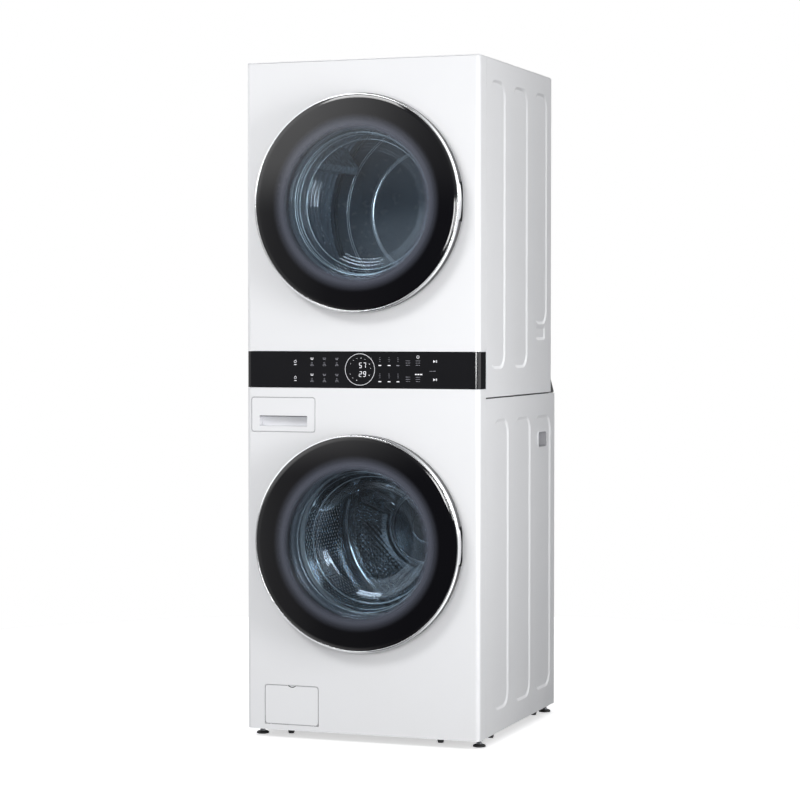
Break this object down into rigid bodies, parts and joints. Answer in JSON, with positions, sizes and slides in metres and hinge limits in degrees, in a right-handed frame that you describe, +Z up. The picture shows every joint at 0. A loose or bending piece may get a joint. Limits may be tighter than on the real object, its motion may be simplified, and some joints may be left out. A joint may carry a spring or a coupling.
{
  "type": "washer dryer stack",
  "caption": "Tall laundry tower: front-loading washer below, tumble dryer above, round glass doors, one control strip between them, drawer and filter hatch.",
  "frame": {"origin": "on the floor, under the middle of the tower's outline", "axes": "+Z up, +X to the right as seen facing the doors, -Y out of the front, +Y towards the wall"},
  "size_m": [0.686, 0.772, 1.889],
  "materials": {
    "white_enamel": "gloss",
    "white_plastic": "satin",
    "black_gloss": "gloss",
    "black_plastic": "satin",
    "grey_plastic": "satin",
    "tinted_glass": "gloss",
    "clear_glass": "gloss",
    "bright_trim": "polished",
    "stainless_steel": "brushed",
    "galvanised_sheet": "satin",
    "grey_coat": "satin",
    "black_steel": "satin",
    "cast_weight": "matte",
    "cast_aluminium": "matte",
    "spring_steel": "satin",
    "grey_rubber": "matte",
    "black_rubber": "matte",
    "motor_steel": "satin",
    "brass_fitting": "satin"
  },
  "bodies": {
    "cabinet": {"washer_base_tray": "black_steel", "base_bumpers": "black_rubber", "washer_right_panel": "white_enamel", "washer_left_panel": "white_enamel", "washer_rear_panel": "galvanised_sheet", "washer_front_panel": "white_enamel", "water_connections": "brass_fitting", "deck_frame": "black_steel", "dispenser_housing": "grey_plastic", "drain_pump": "grey_plastic", "door_gasket": "grey_rubber", "suspension_springs": "spring_steel", "damper_cylinders": "galvanised_sheet", "door_hinge_brackets": "galvanised_sheet", "door_latch_receivers": "black_plastic", "control_strip_housing": "black_plastic", "control_strip_glass": "black_gloss", "dryer_right_panel": "white_enamel", "dryer_left_panel": "white_enamel", "dryer_rear_panel": "galvanised_sheet", "dryer_front_panel": "white_enamel", "dryer_top_cover": "white_enamel", "dryer_front_bulkhead": "grey_plastic", "dryer_rear_bulkhead": "galvanised_sheet", "drive_belt": "black_rubber", "dryer_motor_and_blower": "galvanised_sheet", "exhaust_duct": "galvanised_sheet"},
    "tub": {"tub_front_shell": "grey_plastic", "tub_rear_shell": "grey_plastic", "tub_counterweights": "cast_weight", "motor_stator": "motor_steel", "damper_rods": "spring_steel"},
    "washer_drum_unit": {"washer_drum": "stainless_steel", "washer_drum_lifters": "stainless_steel", "drum_spider": "cast_aluminium", "motor_rotor": "motor_steel"},
    "washer_door": {"washer_door_frame": "black_plastic", "washer_door_ring": "bright_trim", "washer_door_glass": "tinted_glass", "washer_door_bowl": "clear_glass"},
    "door_hook": {"washer_door_hook": "galvanised_sheet"},
    "dryer_door": {"dryer_door_frame": "black_plastic", "dryer_door_ring": "bright_trim", "dryer_door_glass": "tinted_glass", "dryer_door_bowl": "clear_glass"},
    "dryer_drum_unit": {"dryer_drum": "grey_coat", "dryer_drum_lifters": "grey_coat"},
    "roller_left": {"drum_roller_left": "black_rubber"},
    "roller_right": {"drum_roller_right": "black_rubber"},
    "idler": {"idler_pulley": "grey_plastic"},
    "blower": {"blower_wheel": "grey_plastic"},
    "lint_screen": {"lint_filter": "grey_plastic"},
    "drawer": {"drawer_front": "white_plastic", "detergent_tray": "grey_plastic"},
    "filter_hatch": {"drain_filter_hatch": "white_plastic"},
    "filter_cap": {"drain_filter_cap": "grey_plastic"},
    "front_left_foot": {"foot_front_left": "black_rubber"},
    "front_right_foot": {"foot_front_right": "black_rubber"},
    "rear_left_foot": {"foot_rear_left": "black_rubber"},
    "rear_right_foot": {"foot_rear_right": "black_rubber"}
  },
  "joints": [
    {"name": "washer_door_hinge", "type": "hinge", "parent": "cabinet", "child": "washer_door", "pos_m": [-0.28, -0.364, 0.557], "axis": [0, 0, -1], "range_deg": [0, 110]},
    {"name": "washer_door_hook_pivot", "type": "hinge", "parent": "washer_door", "child": "door_hook", "pos_m": [0.248, -0.353, 0.557], "axis": [0, 0, -1], "range_deg": [0, 10], "stiffness_Nm_per_rad": 1},
    {"name": "dryer_door_hinge", "type": "hinge", "parent": "cabinet", "child": "dryer_door", "pos_m": [-0.28, -0.364, 1.4915], "axis": [0, 0, -1], "range_deg": [0, 110]},
    {"name": "tub_bounce", "type": "slide", "parent": "cabinet", "child": "tub", "axis": [0, 0, 1], "range_m": [-0.012, 0.012], "stiffness_N_per_m": 32000, "springref_m": 0.01656, "deforming": ["suspension_springs", "door_gasket"]},
    {"name": "washer_drum_spin", "type": "hinge", "parent": "tub", "child": "washer_drum_unit", "pos_m": [0, 0, 0.557], "axis": [0, 1, 0], "continuous": true},
    {"name": "dryer_drum_spin", "type": "hinge", "parent": "cabinet", "child": "dryer_drum_unit", "pos_m": [0, 0, 1.4915], "axis": [0, 1, 0], "continuous": true},
    {"name": "left_roller_spin", "type": "hinge", "parent": "cabinet", "child": "roller_left", "pos_m": [-0.15, 0.24, 1.17882], "axis": [0, 1, 0], "continuous": true},
    {"name": "right_roller_spin", "type": "hinge", "parent": "cabinet", "child": "roller_right", "pos_m": [0.15, 0.24, 1.17882], "axis": [0, 1, 0], "continuous": true},
    {"name": "idler_spin", "type": "hinge", "parent": "cabinet", "child": "idler", "pos_m": [-0.09817, -0.027, 1.13182], "axis": [0, 1, 0], "continuous": true},
    {"name": "blower_spin", "type": "hinge", "parent": "cabinet", "child": "blower", "pos_m": [0.04, -0.136, 1.066], "axis": [0, 1, 0], "continuous": true},
    {"name": "lint_filter_lift", "type": "slide", "parent": "cabinet", "child": "lint_screen", "axis": [0, 0, 1], "range_m": [0, 0.15]},
    {"name": "detergent_drawer_slide", "type": "slide", "parent": "cabinet", "child": "drawer", "axis": [0, -1, 0], "range_m": [0, 0.25]},
    {"name": "filter_hatch_hinge", "type": "hinge", "parent": "cabinet", "child": "filter_hatch", "pos_m": [-0.20875, -0.329, 0.0465], "axis": [1, 0, 0], "range_deg": [0, 90]},
    {"name": "filter_cap_turn", "type": "hinge", "parent": "cabinet", "child": "filter_cap", "pos_m": [-0.208, -0.296, 0.096], "axis": [0, -1, 0], "range_deg": [0, 180]},
    {"name": "front_left_foot_screw", "type": "slide", "parent": "cabinet", "child": "front_left_foot", "axis": [0, 0, -1], "range_m": [0, 0.02]},
    {"name": "rear_left_foot_screw", "type": "slide", "parent": "cabinet", "child": "rear_left_foot", "axis": [0, 0, -1], "range_m": [0, 0.02]},
    {"name": "front_right_foot_screw", "type": "slide", "parent": "cabinet", "child": "front_right_foot", "axis": [0, 0, -1], "range_m": [0, 0.02]},
    {"name": "rear_right_foot_screw", "type": "slide", "parent": "cabinet", "child": "rear_right_foot", "axis": [0, 0, -1], "range_m": [0, 0.02]}
  ],
  "couplings": [
    {"joint": "left_roller_spin", "follows": "dryer_drum_spin", "ratio": -11.375},
    {"joint": "right_roller_spin", "follows": "dryer_drum_spin", "ratio": -11.375},
    {"joint": "idler_spin", "follows": "dryer_drum_spin", "ratio": -15.925},
    {"joint": "blower_spin", "follows": "dryer_drum_spin", "ratio": 26.542}
  ]
}
